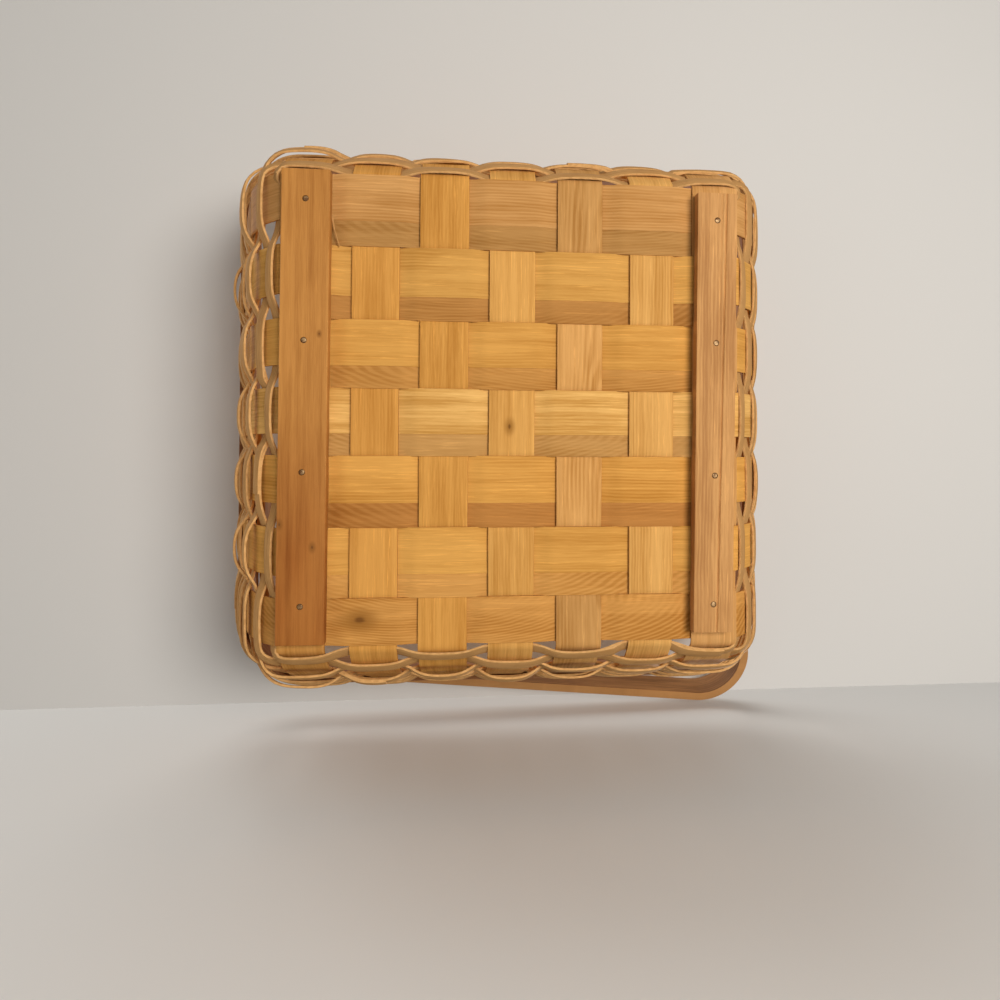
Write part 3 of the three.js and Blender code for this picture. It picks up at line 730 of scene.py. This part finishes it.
def round_bar(name, radius, start, end, bevel=0, sides=rivet_sides):
    """A round bar or disc from start to end, with the rim of its end face rounded."""
    along = end - start
    turn = along.to_track_quat("Z", "Y").to_euler()
    bpy.ops.object.select_all(action="DESELECT")
    bpy.ops.mesh.primitive_cylinder_add(vertices=sides, radius=radius, depth=along.length,
                                        location=(start + end) / 2, rotation=turn)
    bar = bpy.context.object
    bar.name = bar.data.name = name
    if bevel:
        top = along.length / 2
        bpy.ops.object.mode_set(mode="EDIT")
        bpy.ops.mesh.select_all(action="DESELECT")
        bpy.ops.object.mode_set(mode="OBJECT")
        for edge in bar.data.edges:
            edge.select = all(bar.data.vertices[v].co.z > top - 0.01 * mm for v in edge.vertices)
        bpy.ops.object.mode_set(mode="EDIT")
        bpy.ops.mesh.select_mode(type="EDGE")
        bpy.ops.mesh.bevel(offset=bevel, segments=4, affect="EDGES")
        bpy.ops.object.mode_set(mode="OBJECT")
    return bar


def join_pieces(name, parts):
    """Joins meshes into the first of them."""
    bpy.ops.object.select_all(action="DESELECT")
    for part in parts:
        part.select_set(True)
    bpy.context.view_layer.objects.active = parts[0]
    bpy.ops.object.join()
    parts[0].name = parts[0].data.name = name
    return parts[0]


for side, out_sign in (("right", 1), ("left", -1)):
    out = Vector((out_sign, 0, 0))
    axis = middle + up * pivot_level
    outer_face = size_of("outer_rim").x / 2 + touch_gap
    inner_face = inner_half - leg_gap - leg_thickness - touch_gap - washer_thickness - touch_gap
    shank = round_bar("shank", rivet_shank, axis + out * inner_face, axis + out * outer_face)
    outer_head = round_bar("outer_head", rivet_head, axis + out * outer_face,
                           axis + out * (outer_face + rivet_head_height), bevel=rivet_dome)
    inner_head = round_bar("inner_head", rivet_head, axis + out * inner_face,
                           axis + out * (inner_face - rivet_head_height), bevel=rivet_dome)
    rivet = join_pieces(f"rivet_{side}_brass", [shank, outer_head, inner_head])
    finish_piece(rivet, f"rivet_{side}", [brass.material])
    washer_face = inner_face + touch_gap
    washer = round_bar(f"washer_{side}_brass", washer_radius, axis + out * (washer_face + washer_thickness),
                       axis + out * washer_face, bevel=washer_bevel)
    finish_piece(washer, f"washer_{side}", [brass.material])

# Runners: two sawn bars of wood across the stakes' outer columns, on which the basket stands.
# The one on the +X side is wider, smooth and orange-brown, and the other is pale with lengthwise grooves.

runner_looks = {
    "right": {
        "pale": (0.775, 0.54, 0.27), "dark": (0.61, 0.385, 0.155), "seed": 101.0, "rings": 0.2,
        "heart": 20 * mm, "depth": 8 * mm, "tilt": 0.02, "pitch": 4 * mm, "streaks": 0.45, "rough": 0.42,
        "flecks": 0.2, "gloss": 0.15,
        "knots": ((-52 * mm, 9.2 * mm, 0.5 * mm), (-62 * mm, -5.0 * mm, 0.5 * mm),
                  (32 * mm, -6.7 * mm, 0.35 * mm)),
        # Darker in patches towards the -Y end.
        "end_darkening": {"from_to": (15 * mm, -95 * mm), "amount": 1.0, "colour": (0.80, 0.67, 0.55)},
    },
    "left": {
        "pale": (0.815, 0.61, 0.375), "dark": (0.67, 0.47, 0.27), "seed": 107.0, "rings": 0.45,
        "heart": 40 * mm, "depth": 3 * mm, "tilt": 0.01, "pitch": 1.6 * mm, "streaks": 0.6, "rough": 0.5,
        "gloss": 0.1,
    },
}
runner_tilts = {"right": 0.3, "left": 0.5}
lengthwise, crosswise = 70, 60
wear_depth = 0.12 * mm
deep_groove, shallow_groove = 0.8 * mm, 0.35 * mm
nail_radius = 1.25 * mm
nail_hole_gap = 0.15 * mm
nail_hole_reach = 1.0 * mm

for side, look in runner_looks.items():
    node = f"runner_{side}"
    tilt = math.radians(runner_tilts[side])
    box_size = size_of(node)
    length = (box_size.y - box_size.x * math.sin(tilt)) / math.cos(tilt)
    width = (box_size.x - length * math.sin(tilt)) / math.cos(tilt)
    bpy.ops.object.select_all(action="DESELECT")
    bpy.ops.mesh.primitive_grid_add(x_subdivisions=lengthwise, y_subdivisions=crosswise, size=1)
    bar = bpy.context.object
    bar.name = bar.data.name = f"{node}_wood"
    for vertex in bar.data.vertices:
        along = (vertex.index % (lengthwise + 1)) / lengthwise - 0.5
        across = (vertex.index // (lengthwise + 1)) / crosswise - 0.5
        wear = wear_depth * noise.noise(Vector((along * 9, across * 3, look["seed"])))
        groove = 0
        if side == "left":
            aside = across + 0.17 + 0.15 * along
            groove = deep_groove * math.exp(-(aside / 0.018) ** 2)
            groove += shallow_groove * math.exp(-((aside - 0.11) / 0.02) ** 2) * ease(along * 3)
        vertex.co = (across * width, along * length, groove + abs(wear))
    for loop in bar.data.loops:
        vertex = bar.data.vertices[loop.vertex_index]
        bar.data.uv_layers[0].data[loop.index].uv = (vertex.co.y, vertex.co.x)
    solid = bar.modifiers.new("thickness", "SOLIDIFY")
    solid.thickness = box_size.z
    solid.offset = 1 if bar.data.polygons[0].normal.z > 0 else -1
    round_edges(bar, 0.7 * mm, 3)
    bar.rotation_euler = (0, 0, tilt)
    bar.location = middle + Vector((middle_of(node).x, middle_of(node).y, 0))
    sinks = []
    for number in range(1, 5):
        low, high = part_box(f"runner_nail_{side}_{number}")
        at = (low + high) / 2
        sinks.append(round_bar("sink", nail_radius + nail_hole_gap, Vector((at.x, at.y, nail_hole_reach)),
                               Vector((at.x, at.y, -nail_hole_reach)), sides=24))
    sink = join_pieces("sinks", sinks)
    cut = bar.modifiers.new("nail_holes", "BOOLEAN")
    cut.object = sink
    cut.solver = "EXACT"
    bpy.ops.object.select_all(action="DESELECT")
    bpy.context.view_layer.objects.active = bar
    for modifier in list(bar.modifiers):
        bpy.ops.object.modifier_apply(modifier=modifier.name)
    bpy.data.objects.remove(sink)
    face = wood(f"{node}_face", **look)
    finish_piece(bar, node, [face])

# Splinter: a thin sliver that has lifted from a splint's edge beside the right runner, as pale as reed.
# It is still held at one end and curls a little over the first filler. It stands for no CAD node.

sliver_width = 0.8 * mm
sliver_thickness = 0.4 * mm
sliver_level = base_level - layer_step - splint_thickness / 2 - sliver_thickness / 2
sliver_corners = [(81.9, 89.3, 0.2), (81.3, 85.5, 0.6), (80.4, 81.3, 1.0), (78.4, 75.0, 0.6)]
sliver = even_path([(x * mm, y * mm, sliver_level - drop * mm) for x, y, drop in sliver_corners], 1.0 * mm)
points = [middle + Vector(point) for point in sliver]
down = np.array([-up] * len(points))
across = face_ways(points, up)
taper = [sliver_width / 2 * (1 - 0.6 * step / len(points)) for step in range(len(points))]
piece = lay_strip("splinter", points, across, down, sliver_width, sliver_thickness, rows=1, bevel=0.08 * mm,
                  half_widths=taper)
finish_piece(piece, None, [reed.material, reed_edge.material])

# Nails: four small steel nails through each runner into the base, and two through the rims on each wall.
# Their round heads are dull and a little rusty, and lie flush with the wood.

steel = Tree("dull_steel")
spot = steel.add("ShaderNodeTexCoord").outputs["Object"]
rust = steel.noise(spot, scale=600, detail=3)
steel_colour = steel.mix(steel.span(rust, 0.35, 0.65),
                         from_srgb((0.70, 0.58, 0.41)), from_srgb((0.46, 0.32, 0.19)))
steel.put(steel.shader.inputs["Base Color"], steel_colour)
steel.put(steel.shader.inputs["Roughness"], steel.span(rust, 0.3, 0.7, 0.45, 0.7))
steel.shader.inputs["Metallic"].default_value = 0.6
nail_sunk = 0.12 * mm
nail_head_height = 0.7 * mm
nail_head_bevel = 0.35 * mm
nail_shank = 0.8 * mm
shank_starts = 0.5 * mm
into_wall = {"right": Vector((-1, 0, 0)), "left": Vector((1, 0, 0)),
             "back": Vector((0, -1, 0)), "front": Vector((0, 1, 0))}

for node in sorted(frame["nodes"]):
    if not (node.startswith("runner_nail") or node.startswith("rim_nail")):
        continue
    low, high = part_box(node)
    at = (low + high) / 2
    if node.startswith("runner_nail"):
        face = Vector((at.x, at.y, nail_sunk))
        inward = up
        length = high.z
    else:
        inward = into_wall[node.split("_")[2]]
        length = abs((high - low).dot(inward))
        face = at - inward * length / 2
    head = round_bar("head", nail_radius, face + inward * nail_head_height, face,
                     bevel=nail_head_bevel, sides=20)
    shank = round_bar("shank", nail_shank, face + inward * shank_starts, face + inward * length, sides=10)
    nail = join_pieces(f"{node}_steel", [head, shank])
    finish_piece(nail, node, [steel.material])

# Stage: a pale floor under the runners, seen from above, and a pale table and wall for the basket
# as it is seen from below, lying on its side. The floor is two sheets that are clear from below, and
# the table and wall are seen only through both of them, so they stay out of every view from above.

sheet_gap = 0.2 * mm
floor_level = -sheet_gap
handle_low, handle_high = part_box("handle")
table_side = handle_low.y - 4 * mm
wall_level = handle_high.z + 12 * mm
floor_half = 4.0
floor_fades = (0.55, 1.8)
table_half = 0.8
table_depth = 0.4
wall_height = 1.0


def stage_finish(name, colour):
    """A matt finish that hides nothing from the lamps, with what tells the ray that meets it."""
    tree = Tree(name)
    spot = tree.add("ShaderNodeTexCoord").outputs["Object"]
    grain = tree.noise(spot, scale=3, detail=2)
    darker = [c * 0.99 for c in colour]
    tree.put(tree.shader.inputs["Base Color"], tree.mix(grain, from_srgb(colour), from_srgb(darker)))
    tree.shader.inputs["Roughness"].default_value = 0.9
    tree.shader.inputs["Specular IOR Level"].default_value = 0.1
    rays = tree.add("ShaderNodeLightPath").outputs
    watched = tree.math("MAXIMUM", rays["Is Camera Ray"], rays["Is Glossy Ray"])
    watched = tree.math("MAXIMUM", watched, rays["Is Transmission Ray"])
    geometry = tree.add("ShaderNodeNewGeometry").outputs
    facing = tree.math("MULTIPLY", watched, tree.math("SUBTRACT", 1.0, geometry["Backfacing"]))
    return tree, facing, rays, spot


def show_stage(tree, share):
    """Shows a stage finish by this share and leaves the rest clear."""
    clear = tree.add("ShaderNodeBsdfTransparent").outputs[0]
    one_sided = tree.add("ShaderNodeMixShader", {0: share, 1: clear, 2: tree.shader.outputs[0]})
    tree.put(tree.nodes["Material Output"].inputs["Surface"], one_sided.outputs[0])


plaster_colour = (0.86, 0.85, 0.83)
floor_tree, facing, rays, spot = stage_finish("pale_floor", plaster_colour)
away_from_middle = floor_tree.add("ShaderNodeVectorMath", {0: spot}, operation="LENGTH").outputs["Value"]
near = floor_tree.span(away_from_middle, *floor_fades, 1, 0)
show_stage(floor_tree, floor_tree.math("MULTIPLY", facing, near))

for sheet, drop in (("floor", 0), ("floor_underside", sheet_gap)):
    bpy.ops.object.select_all(action="DESELECT")
    bpy.ops.mesh.primitive_plane_add(size=2 * floor_half, location=(0, 0, floor_level - drop))
    floor = bpy.context.object
    floor.name = sheet
    floor.data.materials.append(floor_tree.material)

table_tree, facing, rays, spot = stage_finish("pale_table", plaster_colour)
height = table_tree.add("ShaderNodeSeparateXYZ", {0: spot}).outputs[2]
past_one_sheet = 1.5
through_floor = table_tree.math("GREATER_THAN", rays["Transparent Depth"], past_one_sheet)
seen_below = table_tree.math("MAXIMUM", through_floor, table_tree.math("LESS_THAN", height, floor_level))
show_stage(table_tree, table_tree.math("MULTIPLY", facing, seen_below))

bpy.ops.object.select_all(action="DESELECT")
bpy.ops.mesh.primitive_plane_add(size=2 * table_half, location=(0, 0, 0))
table = bpy.context.object
table.name = "table_and_wall"
for vertex in table.data.vertices:
    deep = wall_level if vertex.co.y > 0 else wall_level - table_depth
    vertex.co = (vertex.co.x, table_side, deep)
bpy.ops.object.mode_set(mode="EDIT")
bpy.ops.mesh.select_all(action="DESELECT")
bpy.ops.object.mode_set(mode="OBJECT")
for edge in table.data.edges:
    edge.select = all(table.data.vertices[v].co.z > wall_level - mm for v in edge.vertices)
bpy.ops.object.mode_set(mode="EDIT")
bpy.ops.mesh.select_mode(type="EDGE")
bpy.ops.mesh.extrude_region_move(TRANSFORM_OT_translate={"value": (0, wall_height, 0)})
bpy.ops.mesh.select_all(action="SELECT")
bpy.ops.mesh.normals_make_consistent(inside=False)
bpy.ops.object.mode_set(mode="OBJECT")
table_face = min(table.data.polygons, key=lambda face: face.center.y)
if table_face.normal.y < 0:
    table.data.flip_normals()
table.data.materials.append(table_tree.material)

# Light: a plain pale world and large soft lamps in front of the base, above the rim and at the sides.

world = bpy.data.worlds.new("pale_world")
bpy.context.scene.world = world
world.use_nodes = True
world_nodes = world.node_tree.nodes
world_links = world.node_tree.links
background = world_nodes["Background"]
background.inputs["Color"].default_value = (1.0, 0.985, 0.96, 1)
background.inputs["Strength"].default_value = 0.27
seen = world_nodes.new("ShaderNodeBackground")
seen.inputs["Color"].default_value = from_srgb((0.93, 0.92, 0.90))
seen.inputs["Strength"].default_value = 1.0
rays = world_nodes.new("ShaderNodeLightPath")
watched = rays.outputs["Is Camera Ray"]
for kind in ("Is Glossy Ray", "Is Transmission Ray"):
    either = world_nodes.new("ShaderNodeMath")
    either.operation = "MAXIMUM"
    world_links.new(watched, either.inputs[0])
    world_links.new(rays.outputs[kind], either.inputs[1])
    watched = either.outputs[0]
shown = world_nodes.new("ShaderNodeMixShader")
world_links.new(watched, shown.inputs[0])
world_links.new(background.outputs[0], shown.inputs[1])
world_links.new(seen.outputs[0], shown.inputs[2])
world_links.new(shown.outputs[0], world_nodes["World Output"].inputs["Surface"])


def soft_lamp(name, place, aim, size, power, colour=(1, 1, 1)):
    """A round soft lamp that points from its place at its aim."""
    lamp = bpy.data.lights.new(name, "AREA")
    lamp.shape = "DISK"
    lamp.size = size
    lamp.energy = power
    lamp.color = colour
    holder = bpy.data.objects.new(name, lamp)
    bpy.context.collection.objects.link(holder)
    holder.location = place
    holder.rotation_euler = (Vector(aim) - Vector(place)).to_track_quat("-Z", "Y").to_euler()


warm = (1.0, 0.962, 0.925)
soft_lamp("base_key", (-0.32, 0.15, -0.82), (0, 0, 0), 0.4, 7.5, warm)
soft_lamp("base_fill", (0.85, -0.12, -0.95), (0, 0, 0), 0.8, 0.7, warm)
soft_lamp("top_key", (-0.8, -0.9, 1.3), (0, 0, 0.05), 0.6, 17, warm)
soft_lamp("top_fill", (1.1, 0.5, 1.0), (0, 0, 0.05), 1.0, 9)
soft_lamp("back_fill", (0.2, 1.3, 0.8), (0, 0, 0.05), 1.0, 6)
soft_lamp("side_fill", (1.2, -0.65, 0.34), (0, 0, 0.05), 0.8, 5.0, warm)

# Camera: it looks up at the base from just below the middle, as the photograph does.
# Its pose is that of a camera fitted to the seams of the base and to the runners.

focal_pixels = 751
frame_pixels = 1000
principal = (545, 440)
yaw, pitch, roll = -0.0993, -0.0125, 0.0049
stand_off = Vector((-14.2065, -11.6317, 339.044)) * mm
half_turn = Matrix.Diagonal((-1, -1, 1))
to_image = (Matrix.Rotation(roll, 3, "Z") @ Matrix.Rotation(pitch, 3, "X")
            @ Matrix.Rotation(yaw, 3, "Y") @ half_turn)
to_camera = Matrix.Diagonal((1, -1, -1))
turned = (to_camera @ to_image).transposed()
camera_data = bpy.data.cameras.new("camera")
camera_data.sensor_width = 36
camera_data.lens = focal_pixels / frame_pixels * camera_data.sensor_width
camera_data.shift_x = 0.5 - principal[0] / frame_pixels
camera_data.shift_y = principal[1] / frame_pixels - 0.5
camera_data.clip_start = 0.01
camera = bpy.data.objects.new("camera", camera_data)
bpy.context.collection.objects.link(camera)
camera.matrix_world = Matrix.Translation(middle - turned @ (to_camera @ stand_off)) @ turned.to_4x4()
bpy.context.scene.camera = camera
bpy.context.scene.view_settings.view_transform = "Standard"
